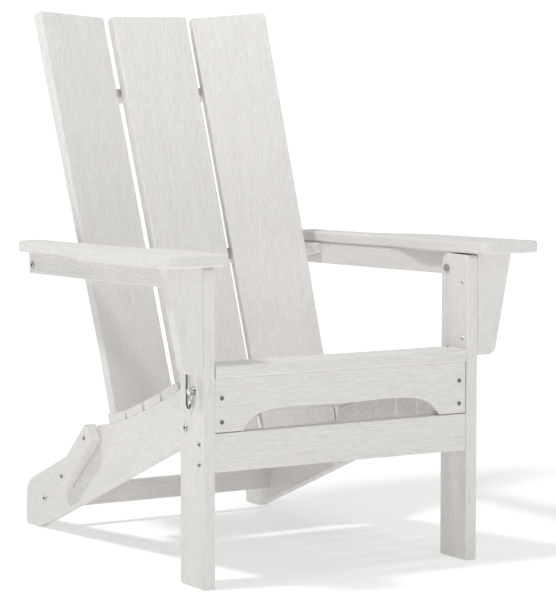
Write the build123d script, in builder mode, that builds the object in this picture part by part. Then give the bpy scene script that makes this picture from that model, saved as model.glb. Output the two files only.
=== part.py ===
"""Folding adirondack chair in embossed poly lumber: seat frame, front legs, arms and back."""
from build123d import *
import os
from math import cos, pi, radians, sin, tan

os.makedirs("parts", exist_ok=True)

# ---------------------------------------------------------------- driving dimensions, mm
board = 22.0            # thickness of the structural boards
edge_round = 2.5        # rounding along the boards' edges
layer_gap = 0.6         # running gap between boards that turn past each other

leg_inner = 248.0       # half of the clear width between the front legs
leg_depth = 80.0        # width of a leg, seen from the side
leg_height = 530.0

apron_recess = 3.0      # the aprons stand this far behind the legs' front faces
apron_bottom = 193.0
apron_seam_low, apron_seam_high = 257.0, 258.2
apron_top = 347.0       # also the height of the stringers under the front slat
arch_half, arch_top_half, arch_top = 195.0, 150.0, 290.5

rear_reach = 722.0      # rear end of the stringers, behind the legs' front faces
arm_overhang = 55.0     # front end of the arms, ahead of the legs' front faces
foot_front = 676.0      # where the stringers' sloping bottom edge meets the floor
bottom_slope = 0.4

seat_slat_thickness, seat_slat_width = 15.0, 62.0
# Flats of the stringers' top edges under the seat slats: distance behind the legs' fronts, height.
seat_line = [(59.5, 347.0), (124.0, 316.5), (188.5, 290.0), (253.0, 265.5), (317.5, 244.0), (382.0, 226.5)]

arm_thickness = 20.0
arm_underside = 533.0   # at the legs' front faces
arm_pitch = 1.4         # the arms fall gently to the rear, degrees
arm_rear = 612.0
arm_inner_front, arm_inner_rear = 248.0, 266.0
arm_outer_front, arm_outer_rear = 365.0, 315.0
rail_height = 40.0
rail_front, rail_rear = 27.0, 608.0
bracket_top_reach, bracket_low_reach = 340.0, 309.5
bracket_bottom = 356.5

back_lean = 21.0        # back slats, degrees from upright
back_datum_y, back_datum_z = 492.8, 400.0   # a point on the middle slat's front face
back_top, back_bottom = 940.0, 190.0
slat_turn = 12.4        # the outer slats turn in by this much, degrees
middle_half_top, middle_half_bottom = 77.9, 73.0
middle_ahead = 8.0      # the middle slat stands on pads this high, ahead of its neighbours' inner edges
outer_start_top, outer_start_bottom = 93.1, 85.8
outer_width_top, outer_width_bottom = 147.4, 138.8
slat_relief_top = 345.0         # below this height the outer slats are trimmed to fit between the stringers
trim_spread = 17.4              # the trim's plane leans out by this much on its way up to the slats' tops

upper_support_height, upper_support_thickness = 800.0, 17.0
crossbar_height, crossbar_tilt = 502.4, 12.0
foot_rail_height = 226.0
support_depth = 34.0

stretcher_front, stretcher_bottom, stretcher_top = 630.0, 39.5, 78.0
cleat_top = (422.4, 208.9)      # middle of the cleat's upper end
cleat_length, cleat_width, cleat_fall = 157.0, 36.0, 41.7

fold_pivot = (60.0, 262.0)      # leg on stringer
arm_pivot = (62.0, 504.5)       # arm rail on leg
back_pivot = (592.0, 494.0)     # lower crossbar on arm rail
pin_place = (34.0, 325.0)       # quick-release lock pin
anchor_place = (47.5, 368.0)    # screw that holds the pin's lanyard

bolt_radius = 4.0
running_fit = 0.05      # radial clearance round a pivot bolt
screw_radius, screw_head_radius = 2.0, 4.0
lanyard_diameter = 3.2

# ---------------------------------------------------------------- derived places
front_y = (arm_overhang - rear_reach) / 2   # the legs' front faces, with the whole chair centred
leg_outer = leg_inner + board
stringer_outer = leg_inner - layer_gap
stringer_inner = stringer_outer - board
rail_inner = leg_outer + layer_gap
rail_outer = rail_inner + board
crossbar_half = rail_inner - layer_gap
apron_back = apron_recess + board
lean, turn = radians(back_lean), radians(slat_turn)
pitch, tilt = radians(arm_pitch), radians(crossbar_tilt)
sides = ((-1, "left"), (1, "right"))


# ---------------------------------------------------------------- helpers
def side_plane(x, facing=1):
    """Upright plane at X = x: local x runs rearward from the legs' fronts, local y is height."""
    if facing > 0:
        return Plane(origin=(x, front_y, 0), x_dir=(0, 1, 0), z_dir=(1, 0, 0))
    return Plane(origin=(x, front_y, 0), x_dir=(0, -1, 0), z_dir=(-1, 0, 0))


def layer(inner, side):
    """Lowest X of a board that fills |X| from inner to inner + board on one side."""
    return inner if side > 0 else -inner - board


def outward(side, x, place):
    """Plane at a side-view place, |X| = x, whose normal points outward."""
    return Plane(origin=(side * x, front_y + place[0], place[1]), x_dir=(0, 1, 0), z_dir=(side, 0, 0))


def inward(side, x, place):
    return Plane(origin=(side * x, front_y + place[0], place[1]), x_dir=(0, 1, 0), z_dir=(-side, 0, 0))


def frontward(x, y, z):
    return Plane(origin=(x, front_y + y, z), x_dir=(1, 0, 0), z_dir=(0, -1, 0))


def round_faces(builder, axis, radius=edge_round):
    """Round the outlines of a board's two broad faces, which lie across an axis."""
    faces = builder.faces().filter_by(GeomType.PLANE).sort_by(axis)
    fillet(faces[0].edges() + faces[-1].edges(), radius)


def bar(plane, radius, length, mode=Mode.ADD):
    """A round bar that starts at a plane and runs against its normal."""
    with Locations(plane):
        Cylinder(radius, length, align=(Align.CENTER, Align.CENTER, Align.MAX), mode=mode)


def save(builder, name):
    builder.part.label = name
    export_step(builder.part, f"parts/{name}.step")


def screw_solid(length, radius, head_radius, head_height):
    """A screw along -Z whose low domed head, with a hexagon socket, sits on Z = 0."""
    with BuildPart() as screw:
        Cylinder(radius, length, align=(Align.CENTER, Align.CENTER, Align.MAX))
        Cone(head_radius, head_radius * 0.55, head_height, align=(Align.CENTER, Align.CENTER, Align.MIN))
        with BuildSketch(Plane.XY.offset(head_height)):
            RegularPolygon(head_radius * 0.4, 6)
        extrude(amount=-head_height * 0.7, mode=Mode.SUBTRACT)
    return screw.part


def fasteners(name, planes, length, radius=screw_radius, head_radius=screw_head_radius, head_height=2.2):
    """One node of like screws. Each plane lies on the wood under a head and faces out of it."""
    solid = screw_solid(length, radius, head_radius, head_height)
    with BuildPart() as row:
        with Locations(*planes):
            add(solid)
    save(row, name)


def drill(planes, length, radius=screw_radius):
    """Holes that the screws of a row fill, cut in the board being built."""
    for plane in planes:
        bar(plane, radius, length, mode=Mode.SUBTRACT)


# ---------------------------------------------------------------- fastener places
cleat_dir = (cos(radians(cleat_fall)), -sin(radians(cleat_fall)))


def along_cleat(distance):
    return (cleat_top[0] + cleat_dir[0] * distance, cleat_top[1] + cleat_dir[1] * distance)


apron_screws = [frontward(side * 234.0, apron_recess, z) for side, _ in sides for z in (275.0, 314.5)]
lower_apron_screws = [outward(side, leg_outer, (14.0, z)) for side, _ in sides for z in (206.0, 240.0)]
bracket_screws = [inward(side, leg_inner, (14.0, z)) for side, _ in sides for z in (386.0, 483.0)]
cleat_screws = [outward(side, stringer_outer + board, along_cleat(d)) for side, _ in sides for d in (18.0, 139.0)]
stretcher_place = (stretcher_front + board / 2, (stretcher_bottom + stretcher_top) / 2)
stretcher_bolts = [outward(side, stringer_outer, stretcher_place) for side, _ in sides]
screw_length, apron_screw_length, cleat_screw_length, bolt_length = 36.0, 50.0, 38.0, 48.0


def seat_frame(start, end, thickness, width):
    """Where a seat slat lies on one flat of the stringers, and where its screws go in from the top."""
    length = ((end[0] - start[0]) ** 2 + (end[1] - start[1]) ** 2) ** 0.5
    run = ((end[0] - start[0]) / length, (end[1] - start[1]) / length)
    middle = ((start[0] + end[0]) / 2, (start[1] + end[1]) / 2)
    section = Plane(origin=(-stringer_outer, front_y + middle[0], middle[1]),
                    x_dir=(0, run[0], run[1]), z_dir=(1, 0, 0))
    top = Plane(origin=(0, front_y + middle[0] - run[1] * thickness, middle[1] + run[0] * thickness),
                x_dir=(1, 0, 0), z_dir=(0, -run[1], run[0]))
    screws = [Plane(origin=top.from_local_coords((side * (stringer_outer - board / 2), s * width * 0.27, 0)),
                    x_dir=(1, 0, 0), z_dir=top.z_dir) for side, _ in sides for s in (-1, 1)]
    return {"section": section, "thickness": thickness, "width": width, "screws": screws}


seat_frames = {"front_seat_slat": seat_frame((-2.0, apron_top), (57.0, apron_top), board, 59.0)}
for number, (start, end) in enumerate(zip(seat_line, seat_line[1:]), start=1):
    seat_frames[f"seat_slat_{number}"] = seat_frame(start, end, seat_slat_thickness, seat_slat_width)
# The front slat's forward screws would miss the stringers, so only its rear pair is kept.
seat_frames["front_seat_slat"]["screws"] = seat_frames["front_seat_slat"]["screws"][1::2]
seat_screw_length = 38.0

# ---------------------------------------------------------------- seat frame: stringers
for side, word in sides:
    with BuildPart() as stringer:
        with BuildSketch(side_plane(layer(stringer_inner, side))):
            with BuildLine():
                front_low = (apron_back, bottom_slope * (foot_front - apron_back))
                Polyline(front_low, (apron_back, apron_top), *seat_line, (424, 221.0), (545, 151.0),
                         (657, 105.5), (rear_reach, 80), (rear_reach, 0), (foot_front, 0), close=True)
            make_face()
            fillet(vertices().sort_by(Axis.X)[-2:].sort_by(Axis.Y)[-1], 42.0)
            fillet(vertices().sort_by(Axis.X)[-2:].sort_by(Axis.Y)[0], 8.0)
        extrude(amount=board)
        outline = stringer.faces().filter_by(GeomType.PLANE).sort_by(Axis.X)
        chamfer(outline[0].edges() + outline[-1].edges(), 1.2)
        drill([outward(side, stringer_outer, fold_pivot)], board, bolt_radius)
        drill([outward(side, stringer_outer, pin_place)], board, 4.4)
        drill(stretcher_bolts, bolt_length, 3.0)
        drill(cleat_screws, cleat_screw_length)
        drill(apron_screws, apron_screw_length)
        for frame in seat_frames.values():
            drill(frame["screws"], seat_screw_length)
    save(stringer, f"{word}_stringer")

# ---------------------------------------------------------------- seat slats
for name, frame in seat_frames.items():
    with BuildPart() as slat:
        with BuildSketch(frame["section"]):
            with Locations((0, frame["thickness"] / 2)):
                Rectangle(frame["width"], frame["thickness"])
        extrude(amount=2 * stringer_outer)
        fillet(slat.edges().filter_by(Axis.X), 3.5)
        round_faces(slat, Axis.X, 2.0)
        drill(frame["screws"], frame["thickness"])
    save(slat, name)
seat_screws = [plane for frame in seat_frames.values() for plane in frame["screws"]]
fasteners("seat_slat_screws", seat_screws, seat_screw_length, screw_radius, 3.6, 1.0)

# ---------------------------------------------------------------- upper apron, with its arched cutout
with BuildPart() as upper_apron:
    with BuildSketch(frontward(0, apron_back, 0)):
        with Locations((0, (apron_seam_high + apron_top) / 2)):
            Rectangle(2 * stringer_outer, apron_top - apron_seam_high)
        with BuildLine():
            low, shoulder = apron_seam_high - 1, (arch_top_half + 15, arch_top - 6.0)
            Polyline((-arch_half, low), (arch_half, low), (arch_half - 14, low + 18))
            Spline((arch_half - 14, low + 18), shoulder, (arch_top_half - 12, arch_top), (0, arch_top + 0.4),
                   (-arch_top_half + 12, arch_top), (-shoulder[0], shoulder[1]), (-arch_half + 14, low + 18))
            Line((-arch_half + 14, low + 18), (-arch_half, low))
        make_face(mode=Mode.SUBTRACT)
    extrude(amount=board)
    round_faces(upper_apron, Axis.Y, 1.5)
    drill(apron_screws, apron_screw_length)
save(upper_apron, "upper_apron")
fasteners("upper_apron_screws", apron_screws, apron_screw_length)

# ---------------------------------------------------------------- rear stretcher, cleats
with BuildPart() as rear_stretcher:
    with BuildSketch(side_plane(-stringer_inner)):
        with Locations(stretcher_place):
            RectangleRounded(board, stretcher_top - stretcher_bottom, edge_round)
    extrude(amount=2 * stringer_inner)
    drill(stretcher_bolts, bolt_length, 3.0)
save(rear_stretcher, "rear_stretcher")
fasteners("stretcher_bolts", stretcher_bolts, bolt_length, 3.0, 6.0, 3.5)

for side, word in sides:
    with BuildPart() as cleat:
        middle = along_cleat(cleat_length / 2)
        with BuildSketch(side_plane(layer(stringer_outer, side))):
            with Locations(Location((middle[0], middle[1]), -cleat_fall)):
                RectangleRounded(cleat_length, cleat_width, 2.0)
        extrude(amount=board)
        round_faces(cleat, Axis.X, 2.0)
        drill(cleat_screws, cleat_screw_length)
    save(cleat, f"{word}_cleat")
fasteners("cleat_screws", cleat_screws, cleat_screw_length)

# ---------------------------------------------------------------- front legs
for side, word in sides:
    with BuildPart() as leg:
        with BuildSketch(side_plane(layer(leg_inner, side))):
            with Locations((leg_depth / 2, leg_height / 2)):
                Rectangle(leg_depth, leg_height)
            fillet(vertices().group_by(Axis.Y)[0], 4.0)
            fillet(vertices().group_by(Axis.Y)[-1].sort_by(Axis.X)[-1], 20.0)
            fillet(vertices().group_by(Axis.Y)[-1].sort_by(Axis.X)[0], 8.0)
        extrude(amount=board)
        round_faces(leg, Axis.X)
        drill([outward(side, leg_outer, fold_pivot)], board, bolt_radius + running_fit)
        drill([outward(side, leg_outer, arm_pivot)], board, bolt_radius)
        drill([outward(side, leg_outer, pin_place)], board, 6.0)
        drill([outward(side, leg_outer, anchor_place)], 16.0)
        drill(lower_apron_screws, apron_screw_length)
        drill(bracket_screws, screw_length)
    save(leg, f"{word}_leg")

with BuildPart() as lower_apron:
    with BuildSketch(frontward(0, apron_back, (apron_bottom + apron_seam_low) / 2)):
        Rectangle(2 * leg_inner, apron_seam_low - apron_bottom)
    extrude(amount=board)
    fillet(lower_apron.edges().filter_by(Axis.X), 1.5)
    drill(lower_apron_screws, apron_screw_length)
save(lower_apron, "lower_apron")
fasteners("lower_apron_screws", lower_apron_screws, apron_screw_length)

# ---------------------------------------------------------------- arm brackets
for side, word in sides:
    with BuildPart() as bracket:
        with BuildSketch(frontward(0, board, 0)):
            with BuildLine():
                reach = bracket_low_reach - leg_outer
                Polyline((side * leg_outer, arm_underside - 1.2), (side * leg_outer, bracket_bottom),
                         (side * (leg_outer + reach * 0.5), bracket_bottom))
                ThreePointArc((side * (leg_outer + reach * 0.5), bracket_bottom),
                              (side * (leg_outer + reach * 0.87), bracket_bottom + 5),
                              (side * bracket_low_reach, bracket_bottom + 17))
                Polyline((side * bracket_low_reach, bracket_bottom + 17),
                         (side * bracket_top_reach, arm_underside - 1.2), (side * leg_outer, arm_underside - 1.2))
            make_face()
        extrude(amount=board)
        round_faces(bracket, Axis.Y, 2.0)
        drill(bracket_screws, screw_length)
    save(bracket, f"{word}_arm_bracket")
fasteners("bracket_screws", bracket_screws, screw_length)

# ---------------------------------------------------------------- arms, in their own gently falling planes
arm_level = Plane(origin=(0, front_y, arm_underside), x_dir=(1, 0, 0), z_dir=(0, sin(pitch), cos(pitch)))


def arm_side(x):
    """Side plane that follows the arm: local x runs rearward along it, local y stands off its underside."""
    return Plane(origin=(x, front_y, arm_underside), x_dir=(0, cos(pitch), -sin(pitch)), z_dir=(1, 0, 0))


def arm_screw_planes(side):
    """Bottoms of the counterbores under the rail, facing down, for the screws into the arm."""
    middle = arm_side(side * (rail_inner + board / 2))
    return [Plane(origin=middle.from_local_coords((s, counterbore - rail_height, 0)), x_dir=(1, 0, 0),
                  z_dir=(0, -sin(pitch), -cos(pitch))) for s in (110.0, 330.0, 550.0)]


counterbore, arm_screw_length = 12.0, 40.0
for side, word in sides:
    with BuildPart() as arm:
        with BuildSketch(arm_level):
            with BuildLine():
                inner, outer = side * arm_inner_front, side * arm_outer_front
                inner_rear, outer_rear = side * arm_inner_rear, side * arm_outer_rear
                Line((inner, 140), (inner, -arm_overhang))
                Line((inner, -arm_overhang), (outer, -arm_overhang))
                Line((outer, -arm_overhang), (outer, 250))
                Bezier((outer, 250), (outer, 335), (outer_rear, 345), (outer_rear, 430))
                Line((outer_rear, 430), (outer_rear, arm_rear))
                Line((outer_rear, arm_rear), (inner_rear, arm_rear))
                Line((inner_rear, arm_rear), (inner_rear, 280))
                Bezier((inner_rear, 280), (inner_rear, 220), (inner, 200), (inner, 140))
            make_face()
            fillet(vertices().group_by(Axis.Y)[0].sort_by(Axis.X)[0 if side < 0 else 1], 22.0)
            fillet(vertices().group_by(Axis.Y)[0].sort_by(Axis.X)[-1 if side < 0 else 0], 14.0)
            fillet(vertices().group_by(Axis.Y)[-1], 12.0)
        extrude(amount=arm_thickness)
        round_faces(arm, Axis.Z, 4.0)
        drill(arm_screw_planes(side), arm_screw_length)
    save(arm, f"{word}_arm")

    with BuildPart() as rail:
        with BuildSketch(arm_side(layer(rail_inner, side))):
            with Locations(((rail_front + rail_rear) / 2, -rail_height / 2)):
                Rectangle(rail_rear - rail_front, rail_height)
            fillet(vertices().group_by(Axis.Y)[0], 3.0)
        extrude(amount=board)
        round_faces(rail, Axis.X, 2.0)
        drill([outward(side, rail_outer, arm_pivot)], board, bolt_radius + running_fit)
        drill([outward(side, rail_outer, back_pivot)], board, bolt_radius)
        drill(arm_screw_planes(side), arm_screw_length)
        drill([plane.offset(counterbore) for plane in arm_screw_planes(side)], counterbore, 5.0)
    save(rail, f"{word}_arm_rail")
    fasteners(f"{word}_arm_screws", arm_screw_planes(side), arm_screw_length)


# ---------------------------------------------------------------- back slats
def back_point(height):
    """Point in the middle of the back, level with the outer slats' inner front edges."""
    return (0, front_y + back_datum_y + (height - back_datum_z) * tan(lean), height)


def up_slat(height):
    """Distance along the back from the datum height."""
    return (height - back_datum_z) / cos(lean)


back_plane = Plane(origin=back_point(back_datum_z), x_dir=(1, 0, 0), z_dir=(0, -cos(lean), sin(lean)))
middle_plane = back_plane.offset(middle_ahead)
outer_start = outer_start_bottom + (outer_start_top - outer_start_bottom) * (back_datum_z - back_bottom) / (
    back_top - back_bottom)
inner_corner = Vector(outer_start, *back_point(back_datum_z)[1:])
turned_x = Vector(cos(turn), -sin(turn) * cos(lean), sin(turn) * sin(lean))
turned_z = turned_x.cross(Vector(0, sin(lean), cos(lean)))
right_plane = Plane(origin=inner_corner, x_dir=turned_x, z_dir=turned_z)
low, high = up_slat(back_bottom), up_slat(back_top)


def rear_level(height, fall):
    """Plane across the back at the slats' rear faces: local y runs rearward, falling by an angle."""
    x, y, z = back_point(height)
    return Plane(origin=(x, y + board / cos(lean), z), x_dir=(1, 0, 0), z_dir=(0, sin(fall), cos(fall)))


def support_screws(height, fall, depth, bow, half, spots, sink):
    """Places on a support's bowed rear edge, facing rearward, for screws into the slats."""
    level = rear_level(height, fall)
    return [Plane(origin=level.from_local_coords((x, depth - bow * (x / half) ** 2 - 0.6 - sink, 0)),
                  x_dir=(1, 0, 0), z_dir=level.y_dir) for x in spots]


upper_half, foot_half, crossbar_depth = 214.0, 205.0, 50.0
upper_bow, foot_bow, crossbar_bow = 22.0, 18.0, 2.0
near, far = (-45.0, 45.0), (-190.0, -160.0, 160.0, 190.0)
upper_screws, foot_screws, crossbar_screws = [
    support_screws(*size, near, middle_ahead) + support_screws(*size, far, far_sink)
    for size, far_sink in (((upper_support_height, lean, support_depth, upper_bow, upper_half), 0.0),
                           ((foot_rail_height, lean, support_depth, foot_bow, foot_half), 0.0),
                           ((crossbar_height, tilt, crossbar_depth, crossbar_bow, crossbar_half), 20.0))]
support_screw_length, crossbar_screw_length = 46.0, 58.0


def drill_back():
    drill(upper_screws + foot_screws, support_screw_length)
    drill(crossbar_screws, crossbar_screw_length)
    drill([plane.offset(30.0) for plane in upper_screws + foot_screws + crossbar_screws], 30.0, 5.0)


with BuildPart() as back_slat_middle:
    with BuildSketch(middle_plane):
        with BuildLine():
            Polyline((-middle_half_bottom, low), (middle_half_bottom, low), (middle_half_top, high),
                     (-middle_half_top, high), close=True)
        make_face()
        fillet(vertices(), 3.0)
    extrude(amount=-board)
    broad = back_slat_middle.faces().filter_by(GeomType.PLANE).sort_by(SortBy.AREA)[-2:]
    fillet(broad[0].edges() + broad[1].edges(), edge_round)
    drill_back()
save(back_slat_middle, "back_slat_middle")

with BuildPart() as back_slat_right:
    with BuildSketch(right_plane):
        with BuildLine():
            Polyline((outer_start_bottom - outer_start, low), (outer_width_bottom, low),
                     (outer_start_top - outer_start + outer_width_top, high),
                     (outer_start_top - outer_start, high), close=True)
        make_face()
        fillet(vertices(), 3.0)
    extrude(amount=-board)
    broad = back_slat_right.faces().filter_by(GeomType.PLANE).sort_by(SortBy.AREA)[-2:]
    fillet(broad[0].edges() + broad[1].edges(), edge_round)
    drill_back()
    # The foot of the slat passes between the stringers as the back folds; the trim dies out at the top.
    with BuildSketch(Plane.XZ):
        with BuildLine():
            clear = stringer_inner - 1.0
            Polyline((clear, 100), (clear, slat_relief_top), (clear + trim_spread, back_top + 20),
                     (clear + 80, back_top + 20), (clear + 80, 100), close=True)
        make_face()
    extrude(amount=600, both=True, mode=Mode.SUBTRACT)
save(back_slat_right, "back_slat_right")

with BuildPart() as back_slat_left:
    mirror(back_slat_right.part, about=Plane.YZ)
save(back_slat_left, "back_slat_left")

# The space that the slats fill, with everything ahead of their rear faces.
rear_of_right = right_plane.offset(-board)
rear_of_left = Plane(origin=(-rear_of_right.origin.X, rear_of_right.origin.Y, rear_of_right.origin.Z),
                     x_dir=(0, 0, 1), z_dir=(-turned_z.X, turned_z.Y, turned_z.Z))
with BuildPart() as slat_space:
    with Locations(back_point(500.0)):
        Box(800, 500, 1400)
    split(bisect_by=back_plane.offset(-board), keep=Keep.TOP)
    split(bisect_by=rear_of_right, keep=Keep.TOP)
    split(bisect_by=rear_of_left, keep=Keep.TOP)
    # What is left out here becomes the pads under the middle slat.
    with Locations(back_plane.offset(-board)):
        Box(2 * middle_half_bottom - 6.0, 2000, middle_ahead, align=(Align.CENTER, Align.CENTER, Align.MIN),
            mode=Mode.SUBTRACT)


def back_support(name, height, fall, thickness, half, depth, bow, holes=()):
    """A board across the slats' rear faces, its rear edge bowed forward at the ends."""
    with BuildPart() as support:
        with BuildSketch(rear_level(height, fall).offset(-thickness / 2)):
            with BuildLine():
                Polyline((-half, depth - bow), (-half, -90), (half, -90), (half, depth - bow))
                ThreePointArc((half, depth - bow), (0, depth), (-half, depth - bow))
            make_face()
        extrude(amount=thickness)
        add(slat_space.part, mode=Mode.SUBTRACT)
        with Locations(*[arm_side(side * (arm_inner_front + leg_outer) / 2) for side, _ in sides]):
            Box(2 * arm_rear, 2.0, leg_outer - arm_inner_front + 8.0, align=(Align.MIN, Align.CENTER, Align.CENTER),
                mode=Mode.SUBTRACT)
        drill(holes, back_bolt_reach, bolt_radius + running_fit)
        drill_back()
    save(support, name)


back_bolt_reach = 46.0
back_support("upper_support", upper_support_height, lean, upper_support_thickness, upper_half, support_depth,
             upper_bow)
back_support("foot_rail", foot_rail_height, lean, board, foot_half, support_depth, foot_bow)
back_support("lower_crossbar", crossbar_height, tilt, board, crossbar_half, crossbar_depth, crossbar_bow,
             [outward(side, crossbar_half, back_pivot) for side, _ in sides])
fasteners("upper_support_screws", upper_screws, support_screw_length)
fasteners("foot_rail_screws", foot_screws, support_screw_length)
fasteners("crossbar_screws", crossbar_screws, crossbar_screw_length)

# ---------------------------------------------------------------- pivot bolts
def pivot_bolt(grip, nut):
    """A button-head bolt along -Z with its washer on Z = 0 and, if asked, a hexagon nut at the end."""
    with BuildPart() as bolt:
        Cylinder(bolt_radius, grip, align=(Align.CENTER, Align.CENTER, Align.MAX))
        Cylinder(6.5, 0.8, align=(Align.CENTER, Align.CENTER, Align.MIN))
        with Locations((0, 0, 0.8)):
            Cone(5.6, 4.2, 2.0, align=(Align.CENTER, Align.CENTER, Align.MIN))
        with BuildSketch(Plane.XY.offset(2.8)):
            RegularPolygon(2.6, 6)
        extrude(amount=-2.2, mode=Mode.SUBTRACT)
        if nut:
            with BuildSketch(Plane.XY.offset(-grip)):
                RegularPolygon(6.4, 6)
            extrude(amount=-4.5)
    return bolt.part


def bolt_pair(name, grip, outer, place, nut=True, only=(-1, 1)):
    with BuildPart() as bolts:
        with Locations(*[outward(side, outer, place) for side in only]):
            add(pivot_bolt(grip, nut))
    save(bolts, name)


bolt_pair("fold_bolts", leg_outer - stringer_inner, leg_outer, fold_pivot)
bolt_pair("arm_bolts", rail_outer - leg_inner, rail_outer, arm_pivot)
for side, word in sides:
    bolt_pair(f"{word}_back_bolt", board + layer_gap + back_bolt_reach - 2.0, rail_outer, back_pivot, False, (side,))

# ---------------------------------------------------------------- quick-release lock pins and lanyards
pin_radius, pin_head_radius, pin_head_length = 4.0, 6.0, 9.0
ring_radius, ring_wire = 7.0, 0.9
ring_stand = 6.0        # the ring hangs this far out from the leg's outer face
cord_stand = 4.8        # and the lanyard this far
anchor_length = 15.0
ferrule_radius = 2.4

with BuildPart() as pin_bushings:
    with Locations(*[outward(side, leg_outer, pin_place) for side, _ in sides]):
        Cylinder(6.0, board, align=(Align.CENTER, Align.CENTER, Align.MAX))
        Cylinder(8.5, 1.2, align=(Align.CENTER, Align.CENTER, Align.MIN))
    drill([plane.offset(2) for plane in [outward(side, leg_outer, pin_place) for side, _ in sides]], board + 4,
          pin_radius + 0.1)
save(pin_bushings, "pin_bushings")
fasteners("lanyard_anchors", [outward(side, leg_outer, anchor_place) for side, _ in sides], anchor_length,
          screw_radius, 4.5, 2.4)

# The lanyard's route on a leg's outer face: distance behind the legs' fronts, height.
lanyard_route = [(47.4, 361.8), (48.2, 350.0), (47.6, 337.5), (48.6, 325.0), (48.0, 314.5), (48.6, 306.5),
                 (47.8, 300.6), (44.4, 296.6), (40.2, 296.4), (37.0, 299.9), (36.4, 304.4)]


def arc_radii(points):
    """Radius at each corner: 0.45 of the shorter run over the tangent of half the turn."""
    vectors = [Vector(*p) for p in points]
    runs = [b - a for a, b in zip(vectors, vectors[1:])]
    return [0.45 * min(r1.length, r2.length) / tan(radians(r1.get_angle(r2)) / 2) for r1, r2 in zip(runs, runs[1:])]


with BuildPart() as lanyard_ferrules:
    for side, _ in sides:
        for (y, z), length in ((lanyard_route[0], 7.2), (lanyard_route[-1], 5.4)):
            with Locations((side * (leg_outer + cord_stand), front_y + y, z)):
                Cylinder(ferrule_radius, length, align=(Align.CENTER, Align.CENTER, Align.MIN))
    fillet(lanyard_ferrules.edges().filter_by(GeomType.CIRCLE), 0.5)
save(lanyard_ferrules, "lanyard_ferrules")

for side, word in sides:
    stem = outward(side, leg_outer, pin_place)
    with BuildPart() as lock_pin:
        with Locations(stem):
            Cylinder(pin_radius, board - 0.2, align=(Align.CENTER, Align.CENTER, Align.MAX))
        with Locations(stem.offset(1.4)):
            Cylinder(pin_radius, 1.4, align=(Align.CENTER, Align.CENTER, Align.MAX))
            Cylinder(pin_head_radius, pin_head_length, align=(Align.CENTER, Align.CENTER, Align.MIN))
        rim = lock_pin.edges().filter_by(GeomType.CIRCLE).sort_by(Axis.X)[-1 if side > 0 else 0]
        fillet(rim, 2.0)
        ring_place = Plane(origin=stem.offset(ring_stand).origin - Vector(0, 0, ring_radius),
                           x_dir=(0, 1, 0), z_dir=(side, 0, 0))
        with Locations(ring_place):
            Torus(ring_radius, ring_wire + 0.4, mode=Mode.SUBTRACT)
    save(lock_pin, f"{word}_lock_pin")

    with BuildPart() as pin_ring:
        with Locations(ring_place):
            Torus(ring_radius, ring_wire)
    save(pin_ring, f"{word}_pin_ring")

    route = [(side * (leg_outer + cord_stand), front_y + y, z) for y, z in lanyard_route]
    radii = arc_radii(route)
    with BuildPart() as lanyard:
        with BuildLine():
            path = FilletPolyline(*route, radius=radii)
        with BuildSketch(Plane(origin=path @ 0, z_dir=path % 0)):
            Circle(lanyard_diameter / 2)
        sweep()
    save(lanyard, f"{word}_lanyard")
    length = path.length
    print(f"{word} lanyard: length {length:.1f}, radii {[round(r, 1) for r in radii]},",
          f"volume over section times length {lanyard.part.volume / (pi * (lanyard_diameter / 2) ** 2 * length):.4f}")
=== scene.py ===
"""Folding adirondack chair: white poly lumber with embossed grain, stainless fasteners, wire lanyards."""
from math import cos, radians, sin
import bpy
from mathutils import Matrix, Vector


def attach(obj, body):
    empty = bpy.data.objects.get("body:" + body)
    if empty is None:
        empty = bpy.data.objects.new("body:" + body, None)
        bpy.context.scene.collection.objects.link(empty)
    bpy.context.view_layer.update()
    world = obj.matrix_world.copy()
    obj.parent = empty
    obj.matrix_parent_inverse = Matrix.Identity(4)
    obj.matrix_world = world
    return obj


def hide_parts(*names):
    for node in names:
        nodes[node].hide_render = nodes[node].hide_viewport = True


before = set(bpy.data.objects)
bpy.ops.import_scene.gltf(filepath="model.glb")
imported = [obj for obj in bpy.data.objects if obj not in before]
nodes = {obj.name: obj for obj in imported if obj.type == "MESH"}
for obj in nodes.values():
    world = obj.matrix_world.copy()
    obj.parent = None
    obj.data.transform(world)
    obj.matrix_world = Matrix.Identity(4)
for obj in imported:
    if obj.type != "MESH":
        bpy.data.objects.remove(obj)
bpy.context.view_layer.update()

# ---------------------------------------------------------------- node-graph helpers


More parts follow.
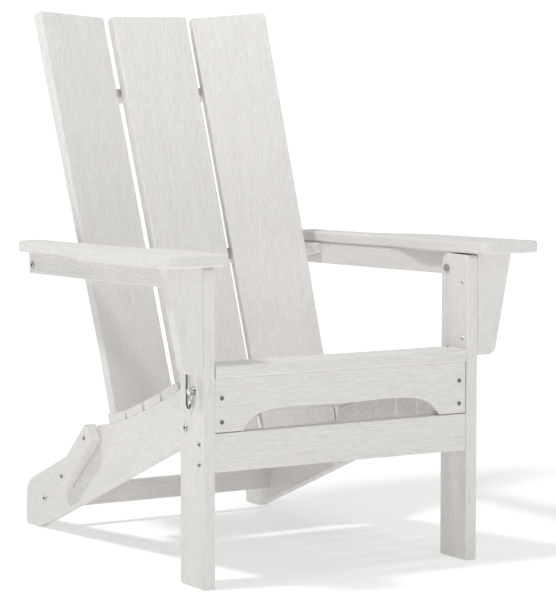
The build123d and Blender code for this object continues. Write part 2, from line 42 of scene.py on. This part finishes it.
class Graph:
    """A material's node tree, with short calls that add a node and link its inputs."""

    def __init__(self, name):
        self.material = bpy.data.materials.new(name)
        self.material.use_nodes = True
        self.tree = self.material.node_tree
        self.shader = self.tree.nodes["Principled BSDF"]

    def put(self, socket, value):
        if isinstance(value, bpy.types.NodeSocket):
            self.tree.links.new(value, socket)
        else:
            socket.default_value = value

    def node(self, kind, settings=(), **inputs):
        node = self.tree.nodes.new(f"ShaderNode{kind}")
        for key, value in dict(settings).items():
            setattr(node, key, value)
        for key, value in inputs.items():
            self.put(node.inputs[key.replace("_", " ")], value)
        return node

    def math(self, operation, *values):
        node = self.tree.nodes.new("ShaderNodeMath")
        node.operation = operation
        for socket, value in zip(node.inputs, values):
            self.put(socket, value)
        return node.outputs[0]

    def spread(self, value, low, high, to_low=0.0, to_high=1.0):
        node = self.node("MapRange", {"interpolation_type": "SMOOTHSTEP"}, Value=value)
        for key, number in zip(("From Min", "From Max", "To Min", "To Max"), (low, high, to_low, to_high)):
            node.inputs[key].default_value = number
        return node.outputs["Result"]

    def noise(self, vector, scale, detail=2.0, roughness=0.5, distortion=0.0):
        return self.node("TexNoise", Vector=vector, Scale=scale, Detail=detail, Roughness=roughness,
                         Distortion=distortion).outputs["Fac"]

    def mapped(self, vector, **settings):
        return self.node("Mapping", Vector=vector, **settings).outputs[0]

    def mix(self, factor, a, b):
        """Colour between a and b. The Mix node's colour sockets are its seventh and eighth inputs."""
        node = self.tree.nodes.new("ShaderNodeMix")
        node.data_type = "RGBA"
        for key, value in ((0, factor), (6, a), (7, b)):
            self.put(node.inputs[key], value)
        return node.outputs[2]

    def set(self, **values):
        for key, value in values.items():
            self.put(self.shader.inputs[key.replace("_", " ")], value)


# ---------------------------------------------------------------- poly lumber
def board_turn(along, face):
    """Rotation that takes row coordinates to a board's own: x along it, z out of its broad face."""
    x = Vector(along).normalized()
    z = Vector(face)
    z = (z - x * z.dot(x)).normalized()
    return Matrix((x, z.cross(x), z)).to_euler("XYZ")


def lumber(name, along, face, number):
    """White poly lumber whose grain runs along the board; the number shifts the pattern."""
    g = Graph(name)
    where = g.node("TexCoord").outputs["Object"]
    own = g.mapped(where, Rotation=board_turn(along, face))
    shift = (0.37 * number, 0.173 * number, 0.091 * number)
    # A slow wandering of the grain, stretched along the board.
    figure = g.noise(g.mapped(own, Location=shift, Scale=(0.9, 9.0, 9.0)), 3.2, 3.0, 0.55)
    sideways = g.math("SUBTRACT", figure, 0.5)
    bend = g.node("VectorMath", {"operation": "SCALE"}, Scale=0.03,
                  Vector=g.node("CombineXYZ", Y=sideways, Z=sideways).outputs[0]).outputs[0]
    bending = g.node("VectorMath", {"operation": "ADD"}, Vector=own)
    g.put(bending.inputs[1], bend)
    bent = bending.outputs[0]
    # Bands of growth, then the short pores that lie along them, then a fine tooth.
    growth = g.noise(g.mapped(bent, Location=shift, Scale=(9.0, 60.0, 60.0)), 2.6, 2.0, 0.6)
    pores = g.noise(g.mapped(bent, Location=shift, Scale=(60.0, 360.0, 360.0)), 1.0, 3.0, 0.62)
    fine = g.noise(g.mapped(bent, Location=shift, Scale=(120.0, 900.0, 900.0)), 1.0, 2.0, 0.6)
    grooves = g.spread(pores, 0.36, 0.56)
    bands = g.spread(growth, 0.38, 0.62)
    # Bump: deep pores inside the bands, shallower between them, with a fine tooth overall.
    depth = g.math("ADD", 0.55, g.math("MULTIPLY", bands, 0.45))
    height = g.math("ADD", g.math("MULTIPLY", grooves, depth), g.math("MULTIPLY", fine, 0.35))
    height = g.math("ADD", height, g.math("MULTIPLY", bands, 0.12))
    bump = g.node("Bump", Strength=0.6, Distance=0.0007, Height=height).outputs[0]
    # Edges, where the surface's own normal leaves the rounded one; these get a painted highlight.
    rounded = g.node("Bevel", {"samples": 4}, Radius=0.0025).outputs[0]
    bevelled = g.node("VectorMath", {"operation": "DOT_PRODUCT"}, Vector=rounded)
    g.put(bevelled.inputs[1], g.node("NewGeometry").outputs["Normal"])
    painted_highlight_edges = g.spread(bevelled.outputs["Value"], 0.999, 0.93)
    # Colour: white, a little greyer in the grooves, faintly warmer or cooler from place to place.
    white, groove_white = (0.775, 0.758, 0.735, 1.0), (0.735, 0.717, 0.694, 1.0)
    colour = g.mix(grooves, groove_white, white)
    cloud = g.noise(g.mapped(own, Location=shift, Scale=(3.0, 12.0, 12.0)), 1.0, 3.0)
    colour = g.mix(g.spread(cloud, 0.35, 0.7, 0.0, 0.12), colour, (0.765, 0.755, 0.74, 1.0))
    between_bands = g.math("SUBTRACT", 1.0, bands)
    colour = g.mix(g.math("MULTIPLY", between_bands, 0.05), colour, (0.72, 0.71, 0.70, 1.0))
    # Painted highlight: the edges are lightened towards a brighter white, and made a little less rough.
    colour = g.mix(g.math("MULTIPLY", painted_highlight_edges, 0.5), colour, (0.84, 0.84, 0.83, 1.0))
    roughness = g.math("SUBTRACT", 0.62, g.math("MULTIPLY", painted_highlight_edges, 0.12))
    roughness = g.math("SUBTRACT", roughness, g.math("MULTIPLY", grooves, 0.08))
    g.set(Base_Color=colour, Roughness=roughness, Normal=bump, Specular_IOR_Level=0.42)
    return g.material


def dress(node, material):
    mesh = nodes[node].data
    mesh.materials.clear()
    mesh.materials.append(material)


lean = radians(21.0)
up_back = (0, sin(lean), cos(lean))
fan = 0.03     # the outer slats spread by this much sideways for each unit along the back
cleat_fall = radians(41.7)
cleat_run = (0, cos(cleat_fall), -sin(cleat_fall))
stringer_run = (0, 0.86, -0.5)
arm_run = (0, 1, -0.0244)
# Each board's direction along its grain, and the direction that its broad face looks in.
boards = {
    "left_stringer": (stringer_run, (1, 0, 0)), "right_stringer": (stringer_run, (1, 0, 0)),
    "left_cleat": (cleat_run, (1, 0, 0)), "right_cleat": (cleat_run, (1, 0, 0)),
    "left_leg": ((0, 0, 1), (1, 0, 0)), "right_leg": ((0, 0, 1), (1, 0, 0)),
    "left_arm_bracket": ((0, 0, 1), (0, 1, 0)), "right_arm_bracket": ((0, 0, 1), (0, 1, 0)),
    "left_arm": (arm_run, (0, 0, 1)), "right_arm": (arm_run, (0, 0, 1)),
    "left_arm_rail": (arm_run, (1, 0, 0)), "right_arm_rail": (arm_run, (1, 0, 0)),
    "upper_apron": ((1, 0, 0), (0, 1, 0)), "lower_apron": ((1, 0, 0), (0, 1, 0)),
    "rear_stretcher": ((1, 0, 0), (0, 1, 0)), "front_seat_slat": ((1, 0, 0), (0, 0, 1)),
    "back_slat_middle": (up_back, (0, 1, 0)),
    "back_slat_left": ((-fan, up_back[1], up_back[2]), (0, 1, 0)),
    "back_slat_right": ((fan, up_back[1], up_back[2]), (0, 1, 0)),
    "upper_support": ((1, 0, 0), (0, 0, 1)), "foot_rail": ((1, 0, 0), (0, 0, 1)),
    "lower_crossbar": ((1, 0, 0), (0, 0, 1)),
}
boards.update({f"seat_slat_{i}": ((1, 0, 0), (0, 0.4, 1)) for i in range(1, 6)})
for number, (node, (along, face)) in enumerate(boards.items(), start=1):
    dress(node, lumber(f"lumber_{node}", along, face, number))


# ---------------------------------------------------------------- steel
def steel(name, tint, roughness, streak):
    """Dull stainless: fine turning marks, smudges, and painted shade in its recesses."""
    g = Graph(name)
    where = g.node("TexCoord").outputs["Object"]
    marks = g.noise(g.mapped(where, Scale=streak), 1.0, 2.0, 0.6)
    smudge = g.noise(where, 260.0, 4.0, 0.6)
    painted_recess_shade = g.node("AmbientOcclusion", {"samples": 8}, Distance=0.004).outputs["AO"]
    colour = g.mix(g.spread(smudge, 0.35, 0.7), tint, tuple(0.78 * c for c in tint[:3]) + (1.0,))
    # Painted shade: the colour darkens where ambient occlusion finds a recess.
    colour = g.mix(g.spread(painted_recess_shade, 0.25, 0.85), tuple(0.22 * c for c in tint[:3]) + (1.0,), colour)
    bump = g.node("Bump", Strength=0.25, Distance=0.0001, Height=marks).outputs[0]
    rough = g.math("ADD", roughness, g.math("MULTIPLY", smudge, 0.16))
    g.set(Base_Color=colour, Roughness=rough, Normal=bump, Metallic=1.0)
    return g.material


screw_steel = steel("screw_steel", (0.30, 0.30, 0.31, 1.0), 0.30, (900, 900, 900))
bright_screw_steel = steel("bright_screw_steel", (0.66, 0.66, 0.66, 1.0), 0.42, (900, 900, 900))
bolt_steel = steel("bolt_steel", (0.52, 0.52, 0.52, 1.0), 0.26, (300, 2400, 2400))
pin_steel = steel("pin_steel", (0.72, 0.73, 0.74, 1.0), 0.16, (300, 2600, 2600))
for node in nodes:
    if node == "bracket_screws":
        dress(node, bright_screw_steel)
    elif node.endswith("screws") or node == "lanyard_anchors":
        dress(node, screw_steel)
    elif node.endswith("bolts") or node.endswith("bolt"):
        dress(node, bolt_steel)
    elif "pin" in node or node == "lanyard_ferrules":
        dress(node, pin_steel)

# ---------------------------------------------------------------- lanyards
front_y = -0.3335       # the front faces of the front legs
stand = 0.2748          # the rope's distance from the middle of the chair
diameter = 0.0032
# The route on a leg's outer face: distance behind the legs' fronts, height.
route = [(0.0474, 0.3618), (0.0482, 0.3500), (0.0476, 0.3375), (0.0486, 0.3250), (0.0480, 0.3145),
         (0.0486, 0.3065), (0.0478, 0.3006), (0.0444, 0.2966), (0.0402, 0.2964), (0.0370, 0.2999),
         (0.0364, 0.3044)]


def wire_rope():
    """Dark sheathed wire: a laid strand pattern showing through a glossy jacket."""
    g = Graph("lanyard_wire")
    where = g.node("TexCoord").outputs["UV"]
    lay = g.mapped(where, Scale=(26.0, 3.0, 1.0), Rotation=(0, 0, 0.5))
    strands = g.node("TexWave", {"wave_type": "BANDS", "bands_direction": "X"}, Vector=lay, Scale=1.4,
                     Distortion=0.6, Detail=1.0).outputs["Fac"]
    worn = g.noise(g.node("TexCoord").outputs["Object"], 420.0, 3.0)
    colour = g.mix(strands, (0.035, 0.037, 0.042, 1.0), (0.13, 0.135, 0.145, 1.0))
    colour = g.mix(g.spread(worn, 0.55, 0.75, 0.0, 0.6), colour, (0.22, 0.22, 0.23, 1.0))
    bump = g.node("Bump", Strength=0.6, Distance=0.0003, Height=strands).outputs[0]
    g.set(Base_Color=colour, Roughness=g.spread(worn, 0.3, 0.7, 0.28, 0.5), Normal=bump,
          Coat_Weight=0.4, Coat_Roughness=0.15)
    return g.material


wire = wire_rope()
for side, word in ((-1, "left"), (1, "right")):
    curve = bpy.data.curves.new(f"{word}_lanyard_wire", "CURVE")
    curve.dimensions = "3D"
    curve.bevel_depth = diameter / 2
    curve.bevel_resolution = 4
    curve.resolution_u = 24
    curve.use_fill_caps = True
    spline = curve.splines.new("NURBS")
    spline.points.add(len(route) - 1)
    for point, (y, z) in zip(spline.points, route):
        point.co = (side * stand, front_y + y, z, 1.0)
    spline.order_u = 3
    spline.use_endpoint_u = True
    cord = bpy.data.objects.new(f"{word}_lanyard_wire", curve)
    bpy.context.scene.collection.objects.link(cord)
    cord.data.materials.append(wire)
    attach(cord, "front_legs")
    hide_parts(f"{word}_lanyard")

# ---------------------------------------------------------------- camera, light, floor
camera_place, camera_target = (-2.3537, -4.0829, 0.8769), Vector((0, -0.0335, 0.45))
camera_data = bpy.data.cameras.new("camera")
camera_data.sensor_fit, camera_data.sensor_width = "HORIZONTAL", 36.0
camera_data.lens = 172.57
camera_data.shift_x, camera_data.shift_y = 0.0423, -0.0095
camera_data.clip_end = 60.0
camera = bpy.data.objects.new("camera", camera_data)
camera.location = camera_place
camera.rotation_euler = (camera_target - camera.location).to_track_quat("-Z", "Y").to_euler()
bpy.context.scene.collection.objects.link(camera)
bpy.context.scene.camera = camera


def area(name, place, target, size, power):
    """A round area light, with its diameter in metres and its power in watts."""
    light = bpy.data.lights.new(name, "AREA")
    light.shape, light.size, light.energy = "DISK", size, power
    lamp = bpy.data.objects.new(name, light)
    lamp.location = place
    lamp.rotation_euler = (Vector(target) - Vector(place)).to_track_quat("-Z", "Y").to_euler()
    bpy.context.scene.collection.objects.link(lamp)


area("key", (-1.9, 0.1, 3.5), (0, 0, 0.3), 0.5, 56)
area("top", (0.6, -0.3, 3.2), (0, 0, 0.3), 2.4, 14)
area("front", (-0.2, -3.6, 1.9), (0, 0, 0.45), 2.4, 20)

# The backdrop: brighter where the camera sees it directly than as a light on the chair.
light_on_chair, seen_directly = 0.44, 1.05
world = bpy.data.worlds.new("studio")
world.use_nodes = True
sky = world.node_tree.nodes["Background"]
sky.inputs["Color"].default_value = (1.0, 1.0, 1.0, 1.0)
path = world.node_tree.nodes.new("ShaderNodeLightPath")
strength = world.node_tree.nodes.new("ShaderNodeMapRange")
strength.inputs["To Min"].default_value = light_on_chair
strength.inputs["To Max"].default_value = seen_directly
world.node_tree.links.new(path.outputs["Is Camera Ray"], strength.inputs["Value"])
world.node_tree.links.new(strength.outputs["Result"], sky.inputs["Strength"])
bpy.context.scene.world = world
bpy.context.scene.view_settings.view_transform = "Standard"

# A pale floor that glows more with distance, so that it meets the backdrop without a line.
half = 30
floor_mesh = bpy.data.meshes.new("floor")
corners = [(-half, -half, 0), (half, -half, 0), (half, half, 0), (-half, half, 0)]
floor_mesh.from_pydata(corners, [], [(0, 1, 2, 3)])
floor = bpy.data.objects.new("floor", floor_mesh)
bpy.context.scene.collection.objects.link(floor)
ground = Graph("pale_floor")
spot = ground.node("TexCoord").outputs["Object"]
speck = ground.noise(spot, 3.0, 3.0)
far = ground.node("VectorMath", {"operation": "LENGTH"}, Vector=spot).outputs["Value"]
ground.set(Base_Color=ground.mix(speck, (0.93, 0.93, 0.93, 1.0), (0.95, 0.95, 0.95, 1.0)), Roughness=0.9,
           Specular_IOR_Level=0.1, Emission_Color=(1.0, 1.0, 1.0, 1.0),
           Emission_Strength=ground.spread(far, 0.6, 3.2, 0.26, 0.66))
floor_mesh.materials.append(ground.material)
